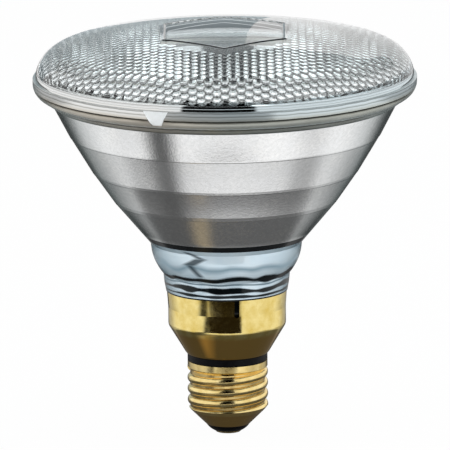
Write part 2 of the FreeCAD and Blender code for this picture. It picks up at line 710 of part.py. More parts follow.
def edges_on_ring(body, radius, height):
    """Names of the circular edges about the axis at one radius and height."""
    found = []
    for index, edge in enumerate(body.Shape.Edges, start=1):
        spot = edge.Vertexes[0].Point
        across = (spot.x ** 2 + spot.y ** 2) ** 0.5
        level = max(vertex.Z for vertex in edge.Vertexes) - min(vertex.Z for vertex in edge.Vertexes)
        aside = max(abs(across - number(radius)), abs(spot.z - number(height)))
        if max(aside, level) < SAME_PLACE and edge.Length > number(radius):
            found.append("Edge%d" % index)
    return found


# Insulator ring: the black moulding that keeps the skirt off the screw shell, with one
# spigot up through the skirt's foot and one down into the shell's collar.
def insulator_ring():
    body = new_body("insulator_ring")
    turn_up(body, "ring_turned", [
        ("ring_bore_radius", "shell_top_height - ring_bottom_spigot"),
        ("collar_bore_radius - fit_gap", "shell_top_height - ring_bottom_spigot"),
        ("collar_bore_radius - fit_gap", "shell_top_height"),
        ("collar_radius - ring_bevel", "shell_top_height"),
        ("collar_radius", "shell_top_height + ring_bevel"),
        ("collar_radius", "ring_top_height - ring_bevel"),
        ("collar_radius - ring_bevel", "ring_top_height"),
        ("ring_spigot_radius", "ring_top_height"),
        ("ring_spigot_radius", "ring_top_height + ring_top_spigot"),
        ("ring_bore_radius", "ring_top_height + ring_top_spigot"),
    ])
    return body


# Screw shell: thin brass with the rolled round thread of a 27 mm lamp base. The thread
# is a right-hand ridge on the root cylinder, it fades into the lower bend, and the same
# helix is hollow from inside.
def screw_shell():
    body = new_body("screw_shell")
    turn_up(body, "shell_blank", [
        ("0", "shell_top_height"),
        ("collar_radius", "shell_top_height"),
        ("collar_radius", "collar_foot_height"),
        ("thread_root_radius", "thread_top_height"),
        ("thread_root_radius", "shell_bend_height"),
        ("shell_lip_radius", "shell_lip_height"),
        ("0", "shell_lip_height"),
    ])
    ridge = new_sketch(body, "thread_ridge_section")
    draw_path(ridge, [
        ("shell_bore_radius", "thread_start_height - thread_half_width"),
        ("thread_root_radius", "thread_start_height - thread_half_width"),
        ("thread_root_radius", "thread_start_height + thread_half_width", "thread_arc_radius", -1),
        ("shell_bore_radius", "thread_start_height + thread_half_width"),
    ])
    wind(body, "thread_ridge", ridge, "AdditiveHelix", "thread_pitch * thread_turns")
    turn_out(body, "thread_fade", [
        ("thread_cut_radius", "shell_bend_height + thread_fade_height"),
        ("thread_root_radius", "shell_bend_height"),
        ("shell_lip_radius", "shell_lip_height"),
        ("shell_lip_radius", "shell_lip_height - thread_pitch"),
        ("thread_cut_radius", "shell_lip_height - thread_pitch"),
    ])
    turn_out(body, "shell_bore", [
        ("0", "shell_top_height"),
        ("0", "shell_lip_height"),
        ("shell_lip_radius - wall_across", "shell_lip_height"),
        ("shell_bore_radius", "shell_bend_height + (wall_across - shell_wall) * cone_rate"),
        ("shell_bore_radius", "thread_top_height"),
        ("collar_bore_radius", "collar_foot_height"),
        ("collar_bore_radius", "shell_top_height"),
    ])
    groove = new_sketch(body, "thread_hollow_section")
    hollow_start = "thread_start_height + thread_pitch"
    draw_path(groove, [
        ("shell_bore_radius - cut_margin", hollow_start + " - thread_half_width + shell_wall"),
        ("shell_bore_radius", hollow_start + " - thread_half_width + shell_wall"),
        ("thread_crest_bore_radius", hollow_start + " - thread_half_width / 3"),
        ("thread_crest_bore_radius", hollow_start + " + thread_half_width / 3"),
        ("shell_bore_radius", hollow_start + " + thread_half_width - shell_wall"),
        ("shell_bore_radius - cut_margin", hollow_start + " + thread_half_width - shell_wall"),
    ])
    before = body.Shape.Volume
    wind(body, "thread_hollow", groove, "SubtractiveHelix", "thread_pitch * thread_hollow_turns")
    if body.Shape.Volume > before - LEAST_CUT:
        raise ValueError("thread_hollow removes nothing")
    return body


def wind(body, name, sketch, kind, rise):
    """Wind a section about the axis as a right-hand helix."""
    helix = body.newObject("PartDesign::" + kind, name)
    helix.Profile = (sketch, [""])
    helix.ReferenceAxis = (sketch, ["V_Axis"])
    helix.Mode = "pitch-height-angle"
    helix.setExpression("Pitch", sized("thread_pitch"))
    helix.setExpression("Height", sized(rise))
    doc.recompute()
    return helix


# Contact insulator: black glass cast in the bottom of the shell, flush with its lip.
def contact_insulator():
    body = new_body("contact_insulator")
    cone_top = "shell_bend_height + (gap_across - shell_wall - fit_gap) * cone_rate"
    turn_up(body, "insulator_cast", [
        ("insulator_hole_radius", "insulator_top_height"),
        ("shell_bore_radius - fit_gap", "insulator_top_height"),
        ("shell_bore_radius - fit_gap", cone_top),
        ("shell_lip_radius - gap_across", "shell_lip_height"),
        ("shell_lip_radius - fit_gap", "shell_lip_height"),
        ("insulator_foot_radius", "insulator_foot_height", "insulator_foot_bulge", 1),
        ("insulator_hole_radius", "insulator_foot_height"),
    ])
    return body


# Centre contact: a small eyelet plate under the insulator, with its solder dome. The
# flat tip of the dome is the part's origin.
def contact_plate():
    body = new_body("contact_plate")
    turn_up(body, "plate_turned", [
        ("plate_hole_radius", "insulator_foot_height"),
        ("plate_radius", "insulator_foot_height"),
        ("plate_radius", "plate_foot_height + plate_wall / 2"),
        ("plate_radius - plate_wall / 2", "plate_foot_height"),
        ("plate_hole_radius", "plate_foot_height"),
    ])
    return body


def contact_solder():
    body = new_body("contact_solder")
    turn_up(body, "solder_dome", [
        ("0", "insulator_foot_height"),
        ("plate_hole_radius - fit_gap", "insulator_foot_height"),
        ("plate_hole_radius - fit_gap", "plate_foot_height"),
        ("solder_radius", "plate_foot_height"),
        ("solder_flat_radius", "0", "solder_radius", 1),
        ("0", "0"),
    ])
    return body


# Side weld: the spot that joins the second lead wire to the inside of the shell.
def side_weld():
    body = new_body("side_weld")
    section = new_sketch(body, "weld_section", "YZ_Plane", height="weld_inner_reach")
    circle_at(section, "0", "weld_height", "weld_radius")
    pad(body, "weld_spot", section, "weld_length")
    return body


def lead_wire_contact():
    return bent_wire("lead_wire_contact", [
        ("0", "insulator_foot_height"),
        ("0", "wire_turn_height"),
        ("0 - ferrule_offset", "wire_lean_height"),
        ("0 - ferrule_offset", "ferrule_bottom_height"),
    ], "wire_radius", "insulator_foot_height")


def lead_wire_shell():
    return bent_wire("lead_wire_shell", [
        ("ferrule_offset", "ferrule_bottom_height"),
        ("ferrule_offset", "wire_lean_height"),
        ("wire_run_radius", "wire_run_height"),
        ("wire_run_radius", "weld_height"),
        ("weld_inner_reach", "weld_height"),
    ], "wire_radius", "ferrule_bottom_height")


pieces = [
    front_lens(),
    reflector_bowl(),
    exhaust_tube(),
    ferrule("ferrule_left", -1),
    ferrule("ferrule_right", 1),
    lead_support("lead_support_left", -1),
    lead_support("lead_support_right", 1),
    glass_bridge(),
    filament_anchor(),
    filament(),
    base_skirt(),
    insulator_ring(),
    screw_shell(),
    contact_insulator(),
    contact_plate(),
    contact_solder(),
    side_weld(),
    lead_wire_contact(),
    lead_wire_shell(),
]
doc.recompute()

failed = [item.Name for item in doc.Objects if "Invalid" in item.State or "Error" in item.State]
for piece in pieces:
    piece.Label = piece.Name
    if piece.Shape.isNull() or not piece.Shape.isValid():
        failed.append(piece.Name + " shape")
if failed:
    raise ValueError("failed objects: " + ", ".join(failed))

os.makedirs("parts", exist_ok=True)
for piece in pieces:
    piece.Shape.exportStep("parts/" + piece.Label + ".step")
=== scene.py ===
import math
import bmesh
import bpy
import numpy as np
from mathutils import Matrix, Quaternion, Vector


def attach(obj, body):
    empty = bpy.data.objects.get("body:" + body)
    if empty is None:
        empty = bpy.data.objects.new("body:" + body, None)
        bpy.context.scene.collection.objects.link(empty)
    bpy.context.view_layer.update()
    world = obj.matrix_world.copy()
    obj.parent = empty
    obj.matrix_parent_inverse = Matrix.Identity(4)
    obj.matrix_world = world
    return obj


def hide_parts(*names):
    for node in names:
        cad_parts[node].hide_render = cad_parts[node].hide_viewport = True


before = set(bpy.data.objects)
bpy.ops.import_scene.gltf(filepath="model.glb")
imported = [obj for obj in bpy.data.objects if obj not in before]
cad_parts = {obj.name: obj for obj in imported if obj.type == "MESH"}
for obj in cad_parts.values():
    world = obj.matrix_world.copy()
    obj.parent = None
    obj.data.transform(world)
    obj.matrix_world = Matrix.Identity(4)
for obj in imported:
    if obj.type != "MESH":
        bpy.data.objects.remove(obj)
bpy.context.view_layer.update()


# Reflector bowl. One piece of pressed borosilicate glass: a sealing flange, a stepped cone,
# a neck, and a heel that the skirt holds. Aluminium is evaporated on its inside down to the
# foot of the cone, and a flame fuses the lens to its rim.
# Sizes are in millimetres, and heights are from the tip of the contact.
MM = 0.001
MIRROR_VERTEX = 54.8
MIRROR_WIDTH = 50.0
CONE_COATING_FOOT = 67.1
NECK_COATING_TOP = 65.1
NECK_COATING_FOOT = 40.0
DARK_IN_SKIRT = 48.3
BAND_EDGES = (65.3, 78.7, 88.3, 99.9, 109.7)
BAND_HOLLOWS = (0.12, 0.18, 0.13, 0.09)
FOOT_LIP = 1.5
FOOT_LIP_RISE = 0.16
# Ripples round the neck, painted as dark reflections: height, half width, waver and softness, and
# tone
NECK_RIPPLES = ((58.8, 0.1, 1.2, 1.5, "#93A9B5"), (54.9, 0.75, 0.9, 0.5, "#0C1214"),
                (53.2, 0.1, 0.5, 0.4, "#5D717C"), (51.3, 0.8, 0.5, 0.4, "#0C1214"),
                (49.2, 0.35, 0.2, 0.3, "#101A1E"))
# Folds up the neck, painted as dark reflections: lowest and highest height, then in degrees
# round the neck where each starts, how far it leans in a millimetre, and its half width
NECK_FOLDS = ((62.4, 64.6, -19.0, -6.0, 1.0), (60.0, 62.4, -31.0, 4.5, 3.0),
              (56.0, 60.0, -22.0, -2.0, 0.6))
# Mould rings up the fused rim, toned with painted reflections and glints: height and tone
RIM_RINGS = ((109.6, "#D5D3CE"), (109.9, "#55534E"), (110.3, "#A39D92"), (111.2, "#B8B1A5"),
             (111.6, "#57524A"), (111.9, "#8F897E"), (112.2, "#F4F1EB"), (112.6, "#C9C1B5"),
             (114.2, "#C4BBAD"), (114.6, "#8F877A"), (114.9, "#2B2724"), (115.2, "#CFC8BC"),
             (115.7, "#D9D4CC"), (116.3, "#ECEAE6"), (116.6, "#A3A09A"), (116.9, "#E6E4E0"),
             (117.4, "#F6F5F3"), (117.75, "#8F8D89"), (118.0, "#D5D4D1"), (118.4, "#ECECEA"),
             (118.7, "#C2C2C0"), (118.9, "#F4F4F3"), (119.3, "#DADAD8"), (119.5, "#A9AAA9"),
             (119.8, "#F0F0EF"))


def linear(hex_colour):
    """An sRGB hex colour as the linear colour that a shader takes."""
    channels = [int(hex_colour[at:at + 2], 16) / 255 for at in (1, 3, 5)]
    return [c / 12.92 if c <= 0.04045 else ((c + 0.055) / 1.055) ** 2.4 for c in channels] + [1]


def plug(node, sockets):
    """Fill a node's sockets: an output is linked, a hex colour is turned linear, a value is set."""
    for socket, value in sockets.items():
        if isinstance(value, bpy.types.NodeSocket):
            node.id_data.links.new(value, node.inputs[socket])
        else:
            node.inputs[socket].default_value = linear(value) if isinstance(value, str) else value


def add_node(tree, kind, *feeds, gives=None, stops=(), **settings):
    """Add a node and return an output: the first one in use, or the one that gives names.

    The feeds fill its sockets in order. Each setting is a property of the node or a socket's
    name. The stops are the places and tones of a colour scale.
    """
    node = tree.nodes.new("ShaderNode" + kind)
    sockets = {}
    for name, value in settings.items():
        if name.replace("_", " ") in node.inputs:
            sockets[name.replace("_", " ")] = value
        else:
            setattr(node, name, value)
    in_use = [number for number, socket in enumerate(node.inputs) if socket.enabled]
    plug(node, {**dict(zip(in_use, feeds)), **sockets})
    if stops:
        first, last = node.color_ramp.elements
        first.position, first.color = stops[0][0], linear(stops[0][1])
        last.position, last.color = stops[-1][0], linear(stops[-1][1])
        for place, tone in stops[1:-1]:
            node.color_ramp.elements.new(place).color = linear(tone)
    return node.outputs[gives] if gives else next(s for s in node.outputs if s.enabled)


def new_finish(name, **values):
    """A material and its Principled shader, whose plain values are set on its own sockets."""
    finish = bpy.data.materials.new(name)
    finish.use_nodes = True
    shader = finish.node_tree.nodes["Principled BSDF"]
    plug(shader, {socket.replace("_", " "): value for socket, value in values.items()})
    return finish, finish.node_tree, shader


def place_on_lamp(tree):
    """The point being shaded in millimetres: as one vector, then across, along and height."""
    spot = add_node(tree, "TexCoord", gives="Object")
    where = add_node(tree, "VectorMath", spot, 1 / MM, operation="SCALE")
    return [where] + list(add_node(tree, "SeparateXYZ", where).node.outputs)


def distance(tree, across, along):
    """How far a point is from an upright axis."""
    squares = [add_node(tree, "Math", side, side, operation="MULTIPLY") for side in (across, along)]
    return add_node(tree, "Math", add_node(tree, "Math", *squares, operation="ADD"),
                    operation="SQRT")


def above(tree, height, level, soft=0.05):
    """1 over that level and 0 under it."""
    return add_node(tree, "MapRange", height, level - soft, level + soft)


def rings_of_rim(tree, where, across, height):
    """The look of the fused rim: uneven mould rings toned with painted reflections, warmer at the
    left.
    """
    noise = add_node(tree, "TexNoise", where, Scale=1 / 5.0, Detail=2.0)
    uneven = add_node(tree, "MapRange", noise, 0.3, 0.7, -0.1, 0.1)
    level = add_node(tree, "Math", height, uneven, operation="ADD")
    foot, top = RIM_RINGS[0][0], RIM_RINGS[-1][0]
    ring_tones = add_node(tree, "ValToRGB", add_node(tree, "MapRange", level, foot, top),
                       stops=[((place - foot) / (top - foot), tone) for place, tone in RIM_RINGS])
    clear = add_node(tree, "Mix", 1.0, ring_tones, "#E4F0F6", data_type="RGBA", blend_type="MULTIPLY")
    return add_node(tree, "Mix", add_node(tree, "MapRange", across, -22, 2), ring_tones, clear,
                    data_type="RGBA")


def dress(node, finish):
    """Give a CAD node its finish."""
    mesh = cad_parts[node].data
    mesh.materials.clear()
    mesh.materials.append(finish)


# Aluminised pressed glass: the metal is seen through the glass, so the cone looks like
# satin silver under a light gloss. The coating is a little cloudy (9 mm) and speckled
# (1.1 mm), and greyer where the glass is seen at a slant. Inside it is a bright mirror.
bowl_glass, tree, shader = new_finish("aluminised_pressed_glass", IOR=1.5, Coat_Roughness=0.05,
                                      Specular_Tint="#6B7878")
where, across, along, height = place_on_lamp(tree)
coated = above(tree, height, NECK_COATING_FOOT)
on_cone = above(tree, height, CONE_COATING_FOOT)
on_rim = above(tree, height, BAND_EDGES[-1])
spread = add_node(tree, "Math", distance(tree, across, along), 2.0, operation="POWER")
over_vertex = add_node(tree, "Math", height, MIRROR_VERTEX, operation="SUBTRACT")
paraboloid = add_node(tree, "Math", spread, MIRROR_WIDTH, operation="DIVIDE")
over_mirror = add_node(tree, "Math", over_vertex, paraboloid, operation="SUBTRACT")
inside = add_node(tree, "MapRange", over_mirror, -1.0, -0.6)
clouds = add_node(tree, "MapRange", add_node(tree, "TexNoise", where, Scale=1 / 9.0, Detail=2.0),
                  0.35, 0.65)
speckle = add_node(tree, "MapRange", add_node(tree, "TexNoise", where, Scale=1 / 1.1, Detail=3.0),
                   0.35, 0.65)
facing = add_node(tree, "LayerWeight", Blend=0.5, gives="Facing")
bright = add_node(tree, "Mix", clouds, "#F9FAFB", "#FFFFFE", data_type="RGBA")
silver = add_node(tree, "Mix", speckle, "#F2F3F3", bright, data_type="RGBA")
# The rim takes the mould rings, toned with painted reflections and glints
silver = add_node(tree, "Mix", on_rim, silver, rings_of_rim(tree, where, across, height),
                  data_type="RGBA")
silver = add_node(tree, "Mix", add_node(tree, "MapRange", facing, 0.76, 0.96), silver, "#93A19E",
                  data_type="RGBA")

# The neck is thick clear glass, bluish and full of folds from the press. It is painted as
# that pale glass, darker where it is seen at a slant, with painted reflections on it: a
# near-black band under the cone's foot where the coating ends, the dark inside of the skirt
# in its foot, dark ripples that waver with noise 10 mm across and swell with noise 7 mm
# across, then the sharp dark folds.
pale = add_node(tree, "Mix", clouds, "#DDEEF9", "#EAF6FD", data_type="RGBA")
pale = add_node(tree, "Mix", add_node(tree, "MapRange", facing, 0.15, 0.8), pale, "#6C818B",
                data_type="RGBA")
kinks = add_node(tree, "TexNoise", where, Scale=1 / 10.0, Detail=0.6)
swelling = add_node(tree, "TexNoise", where, Scale=1 / 7.0, Detail=0.0)
# Painted dark reflections in ripples round the neck
for middle, half, waver, soft, tone in NECK_RIPPLES:
    wavering = add_node(tree, "MapRange", kinks, 0.3, 0.7, -waver, waver)
    level = add_node(tree, "Math", height, wavering, operation="ADD")
    off = add_node(tree, "Math", level, middle, operation="SUBTRACT")
    off = add_node(tree, "Math", off, operation="ABSOLUTE")
    width = add_node(tree, "MapRange", swelling, 0.35, 0.65, 0.25 * half, 1.3 * half)
    past = add_node(tree, "Math", off, width, operation="SUBTRACT")
    pale = add_node(tree, "Mix", add_node(tree, "MapRange", past, 0.0, soft, 1.0, 0.0), pale, tone,
                    data_type="RGBA")
behind = add_node(tree, "Math", along, -1.0, operation="MULTIPLY")
turned = add_node(tree, "Math", across, behind, operation="ARCTAN2")
turned = add_node(tree, "Math", turned, 180 / math.pi, operation="MULTIPLY")
# Painted dark reflections along the folds
for lowest, highest, start, lean, half in NECK_FOLDS:
    risen = add_node(tree, "Math", height, lowest, operation="SUBTRACT")
    middle = add_node(tree, "Math", risen, lean, start, operation="MULTIPLY_ADD")
    off = add_node(tree, "Math", turned, middle, operation="SUBTRACT")
    off = add_node(tree, "Math", off, operation="ABSOLUTE")
    under = add_node(tree, "Math", 1.0, above(tree, height, highest, 0.3), operation="SUBTRACT")
    held = add_node(tree, "Math", above(tree, height, lowest, 0.3), under, operation="MULTIPLY")
    fold = add_node(tree, "MapRange", off, half, half + 4.0, 0.85, 0.0)
    fold = add_node(tree, "Math", fold, held, operation="MULTIPLY")
    pale = add_node(tree, "Mix", fold, pale, "#27343C", data_type="RGBA")
# Painted reflections: near black in the skirt and in a band under the cone's foot
neck = add_node(tree, "Mix", above(tree, height, DARK_IN_SKIRT), "#0C0F10", pale, data_type="RGBA")
neck = add_node(tree, "Mix", above(tree, height, NECK_COATING_TOP), neck, "#111315",
                data_type="RGBA")
colour = add_node(tree, "Mix", on_cone, neck, silver, data_type="RGBA")
colour = add_node(tree, "Mix", coated, "#EEF6F8", colour, data_type="RGBA")

# The press leaves a fine stipple, drawn 0.7 mm coarse so that it shows, and each band of
# the cone is a shallow hollow between its edges
stipple = add_node(tree, "TexNoise", where, Scale=1 / 0.7, Detail=2.0)
stipple = add_node(tree, "Bump", Strength=0.5, Distance=0.05 * MM, Height=stipple)
lip = add_node(tree, "MapRange", height, CONE_COATING_FOOT, CONE_COATING_FOOT + FOOT_LIP, 1.0, 0.0)
hollows = None
for foot, top, depth in zip(BAND_EDGES, BAND_EDGES[1:], BAND_HOLLOWS):
    off = add_node(tree, "MapRange", height, foot, top, -1.0, 1.0)
    bowed = add_node(tree, "Math", off, off, operation="MULTIPLY")
    bowed = add_node(tree, "Math", bowed, depth, operation="MULTIPLY")
    hollows = add_node(tree, "Math", hollows, bowed, operation="ADD") if hollows else bowed
lip = add_node(tree, "Math", lip, lip, operation="MULTIPLY")
hollows = add_node(tree, "Math", lip, FOOT_LIP_RISE, hollows, operation="MULTIPLY_ADD")
half_rim = add_node(tree, "Math", on_rim, 0.5, operation="MULTIPLY")
metal = add_node(tree, "MapRange", on_cone, 0, 1, 0.15, 1.0)
satin = add_node(tree, "MapRange", inside, 0, 1, 0.2, 0.03)
plug(shader, {
    "Base Color": colour,
    "Metallic": add_node(tree, "Math", metal, half_rim, operation="SUBTRACT"),
    "Roughness": add_node(tree, "Math", on_cone, satin, operation="MULTIPLY"),
    "Transmission Weight": add_node(tree, "Math", 1.0, coated, operation="SUBTRACT"),
    "Coat Weight": add_node(tree, "Math", coated, 0.25, operation="MULTIPLY"),
    "Normal": add_node(tree, "Bump", Strength=1.0, Distance=MM, Height=hollows, Normal=stipple)})
dress("reflector_bowl", bowl_glass)


# Front lens. Pressed glass, fused to the bowl: a smooth dome outside, with a raised
# six-sided bead round a plain panel, and a honeycomb of small round lenslets inside. A
# smooth border and a ledge run to the sealed rim.
RIM_RADIUS = 61.9
LIP_STEP = 0.75
LIP_TOP = 118.0
RIM_WIDEST = 116.2
SEAM = 114.9
SEAM_BEVEL = 0.3
FLANGE_ROUND = 4.3
DOME_RADIUS = 250.0
SHOULDER_RADIUS = 11.2
SHOULDER_CENTRE = 117.02
LENS_WALL = 3.4
INNER_DOME_RADIUS = 160.0
INNER_CORNER_ROUND = 0.3
PANEL_HALF_WIDTH = 20.2
PANEL_SIDE = 13.6
PANEL_HALF_LENGTH = 27.6
BEAD_WIDTH = 1.3
BEAD_HEIGHT = 0.26
# The bead's section from its inner edge out: share of its width still to go, and of its height
BEAD_SECTION = ((1.0, 0.0), (0.82, 0.45), (0.65, 0.85), (0.5, 1.0), (0.35, 0.85), (0.18, 0.45),
                (0.0, 0.0))
LENSLET_PITCH = 2.84
LENSLET_RISE = 0.42
LENSLET_STEPS = 4
LENSLET_FIELD = 56.6
LENSLET_GRID_SETBACK = 0.7
PANEL_MARGINS = (1.0, 2.0, 2.2)
ROUND_STEPS = 240
SILVERED_EDGE = 119.8
BORDER_LINE = 118.95

shoulder_across = RIM_RADIUS - LIP_STEP - SHOULDER_RADIUS
blend_reach = DOME_RADIUS - SHOULDER_RADIUS
dome_centre = SHOULDER_CENTRE - math.sqrt(blend_reach ** 2 - shoulder_across ** 2)
blend_angle = math.asin(shoulder_across / blend_reach)
inner_side = shoulder_across + SHOULDER_RADIUS - LENS_WALL


class Solid:
    """A mesh under way: points in millimetres and the faces on them."""

    def __init__(self):
        self.points = []
        self.faces = []

    def add(self, points):
        """Add points and return their numbers."""
        first = len(self.points)
        self.points += [tuple(p) for p in points]
        return list(range(first, len(self.points)))

    def band(self, lower, upper):
        """Quads between two rings of the same count."""
        count = len(lower)
        for at in range(count):
            after = (at + 1) % count
            self.faces.append((lower[at], lower[after], upper[after], upper[at]))

    def zip_rings(self, inner, outer):
        """Triangles between two rings of different counts, both in order of angle."""
        turn = [math.atan2(self.points[i][1], self.points[i][0]) for i in inner]
        other = [math.atan2(self.points[i][1], self.points[i][0]) for i in outer]
        turn.append(turn[0] + math.tau)
        other.append(other[0] + math.tau)
        a = b = 0
        while a < len(inner) or b < len(outer):
            here, there = inner[a % len(inner)], outer[b % len(outer)]
            if b >= len(outer) or (a < len(inner) and turn[a + 1] <= other[b + 1]):
                self.faces.append((here, there, inner[(a + 1) % len(inner)]))
                a += 1
            else:
                self.faces.append((here, there, outer[(b + 1) % len(outer)]))
                b += 1

    def finish(self, name, finish, slot, crease):
        """The piece, smooth but for edges sharper than crease degrees."""
        mesh = bpy.data.meshes.new(name)
        mesh.from_pydata([tuple(c * MM for c in p) for p in self.points], [], self.faces)
        mesh.materials.append(finish)
        mesh.validate()
        mesh.shade_smooth()
        piece = bpy.data.objects.new(name, mesh)
        bpy.context.scene.collection.objects.link(piece)
        work = bmesh.new()
        work.from_mesh(mesh)
        bmesh.ops.remove_doubles(work, verts=work.verts, dist=0.01 * MM)
        bmesh.ops.dissolve_degenerate(work, dist=0.005 * MM, edges=work.edges)
        bmesh.ops.recalc_face_normals(work, faces=work.faces)
        work.to_mesh(mesh)
        work.free()
        mesh.set_sharp_from_angle(angle=math.radians(crease))
        return piece


def dome_height(radius):
    """Height of the dome's outer face at a distance from the axis."""
    return dome_centre + np.sqrt(DOME_RADIUS ** 2 - np.asarray(radius) ** 2)


def inner_height(radius):
    """Height of the lens's inner face without the lenslets."""
    apex = dome_centre + DOME_RADIUS - LENS_WALL
    return apex - INNER_DOME_RADIUS + np.sqrt(INNER_DOME_RADIUS ** 2 - np.asarray(radius) ** 2)


def six_sided(angle, half_width, side, half_length):
    """Distance from the axis to a six-sided outline, corner to the front, at each angle."""
    x, y = np.abs(np.cos(angle)), np.abs(np.sin(angle))
    slope = (half_length - side) / half_width
    return np.minimum(half_width / np.maximum(x, 1e-9), half_length / (y + slope * x))


def bead_inset(inset):
    """The panel's outline moved inwards by inset."""
    slope = (PANEL_HALF_LENGTH - PANEL_SIDE) / PANEL_HALF_WIDTH
    width = PANEL_HALF_WIDTH - inset
    length = PANEL_HALF_LENGTH - inset * math.sqrt(1 + slope ** 2)
    return width, length - width * slope, length


# Points round the lens, moved so that one falls on each corner of the panel
angles = np.linspace(-math.pi, math.pi, ROUND_STEPS, endpoint=False)
corner_turn = math.atan2(PANEL_SIDE, PANEL_HALF_WIDTH)
for corner in (corner_turn, math.pi / 2, math.pi - corner_turn):
    for turn in (corner, -corner):
        angles[np.argmin(np.abs(angles - turn))] = turn
lens = Solid()


def ring_at(radius, height):
    """One ring of the lens; radius and height may differ round it."""
    radius = radius * np.ones(ROUND_STEPS)
    return lens.add(zip(radius * np.cos(angles), radius * np.sin(angles),
                        height * np.ones(ROUND_STEPS)))


# The outer face, from the middle of the panel out over the bead and the dome to the seam
rings = []
for share in (0.15, 0.35, 0.6, 0.85):
    radius = share * six_sided(angles, *bead_inset(BEAD_WIDTH))
    rings.append(ring_at(radius, dome_height(radius)))
for inset, rise in BEAD_SECTION:
    radius = six_sided(angles, *bead_inset(BEAD_WIDTH * inset))
    rings.append(ring_at(radius, dome_height(radius) + BEAD_HEIGHT * rise))
turns = np.linspace(math.pi / 2 - blend_angle, 0.0, 24)
shoulder = [(shoulder_across + SHOULDER_RADIUS * math.cos(t),
             SHOULDER_CENTRE + SHOULDER_RADIUS * math.sin(t)) for t in turns]
edge = six_sided(angles, *bead_inset(0))
for share in np.linspace(0.1, 1, 12):
    radius = edge + (shoulder[0][0] - edge) * share
    rings.append(ring_at(radius, dome_height(radius)))
for radius, level in shoulder[1:]:
    if level > LIP_TOP + 0.05:
        rings.append(ring_at(radius, level))
ledge = math.sqrt(SHOULDER_RADIUS ** 2 - (LIP_TOP - SHOULDER_CENTRE) ** 2)
for radius, level in ((shoulder_across + ledge, LIP_TOP), (RIM_RADIUS - 0.25, LIP_TOP),
                      (RIM_RADIUS - 0.07, LIP_TOP - 0.07), (RIM_RADIUS, LIP_TOP - 0.25)):
    rings.append(ring_at(radius, level))
drop = RIM_WIDEST - SEAM - SEAM_BEVEL
for share in np.linspace(0, 1, 5):
    reach = math.sqrt(FLANGE_ROUND ** 2 - (drop * share) ** 2)
    rings.append(ring_at(RIM_RADIUS - FLANGE_ROUND + reach, RIM_WIDEST - drop * share))
reach = math.sqrt(FLANGE_ROUND ** 2 - (drop + 2 * SEAM_BEVEL) ** 2)
rings.append(ring_at(RIM_RADIUS - FLANGE_ROUND + reach - SEAM_BEVEL, SEAM))
rings.append(ring_at(inner_side, SEAM))
rings.append(ring_at(inner_side, float(inner_height(inner_side)) - INNER_CORNER_ROUND))
inner_edge = inner_side - INNER_CORNER_ROUND
rings.append(ring_at(inner_edge, float(inner_height(inner_edge))))
for lower, upper in zip(rings, rings[1:]):
    lens.band(lower, upper)
middle = lens.add([(0, 0, dome_height(0))])[0]
for at in range(ROUND_STEPS):
    lens.faces.append((middle, rings[0][at], rings[0][(at + 1) % ROUND_STEPS]))

# The inner face: six-sided cells in a honeycomb, each divided into small triangles
cell_corner = LENSLET_PITCH / math.sqrt(3)
grid_edge = inner_side - LENSLET_GRID_SETBACK
cells = np.array([(row * 1.5, column * math.sqrt(3) + (row % 2) * math.sqrt(3) / 2)
                  for row in range(-26, 27) for column in range(-24, 25)]) * cell_corner
cells = cells[np.hypot(cells[:, 0], cells[:, 1]) < grid_edge + LENSLET_PITCH]
points, number_at, triangles = [], {}, []


def grid_point(x, y):
    """The number of a point of the honeycomb, made the first time that it is asked for."""
    key = (round(x * 200), round(y * 200))
    if key not in number_at:
        number_at[key] = len(points)
        points.append((x, y))
    return number_at[key]


step = cell_corner / LENSLET_STEPS
corners = [np.array([math.cos(k * math.pi / 3), math.sin(k * math.pi / 3)]) * step
           for k in range(7)]
for centre_x, centre_y in cells:
    for a, b in zip(corners, corners[1:]):
        for i in range(LENSLET_STEPS):
            for j in range(LENSLET_STEPS - i):
                halves = [[(i, j), (i + 1, j), (i, j + 1)]]
                if i + j < LENSLET_STEPS - 1:
                    halves.append([(i + 1, j), (i + 1, j + 1), (i, j + 1)])
                for half in halves:
                    triangles.append([grid_point(centre_x + p * a[0] + q * b[0],
                                                 centre_y + p * a[1] + q * b[1])
                                      for p, q in half])
points = np.array(points)

# Each point swells by its distance from the middle of its lenslet, but for those under the
# panel and in the smooth border
nearest = np.full(len(points), 1e9)
owner = np.zeros(len(points), int)
for number, (x, y) in enumerate(cells):
    near = np.hypot(points[:, 0] - x, points[:, 1] - y)
    closer = near < nearest - 1e-6
    nearest[closer] = near[closer]
    owner[closer] = number
panel = (PANEL_HALF_WIDTH, PANEL_SIDE, PANEL_HALF_LENGTH)
panel_reach = six_sided(np.arctan2(cells[:, 1], cells[:, 0]),
                        *[size + margin for size, margin in zip(panel, PANEL_MARGINS)])
cell_reach = np.hypot(cells[:, 0], cells[:, 1])
domed = (cell_reach > panel_reach) & (cell_reach < LENSLET_FIELD)
swell = np.where(domed[owner], LENSLET_RISE * (1 - (nearest / cell_corner) ** 2), 0.0)

# The honeycomb is cut round and joined to the border
far = np.hypot(points[:, 0], points[:, 1])
over_edge = far > grid_edge
kept = [t for t in triangles if (far[t] < grid_edge).any()]
used = sorted({i for t in kept for i in t})
flat = points * np.where(over_edge, grid_edge / np.maximum(far, 1e-9), 1.0)[:, None]
levels = inner_height(np.hypot(flat[:, 0], flat[:, 1])) - np.where(over_edge, 0, swell)
number_of = dict(zip(used, lens.add([(flat[i, 0], flat[i, 1], levels[i]) for i in used])))
lens.faces += [tuple(number_of[i] for i in t) for t in kept]
grid_rim = [number_of[i] for i in used if over_edge[i]]
grid_rim.sort(key=lambda i: math.atan2(lens.points[i][1], lens.points[i][0]))
lens.zip_rings(grid_rim, rings[-1])
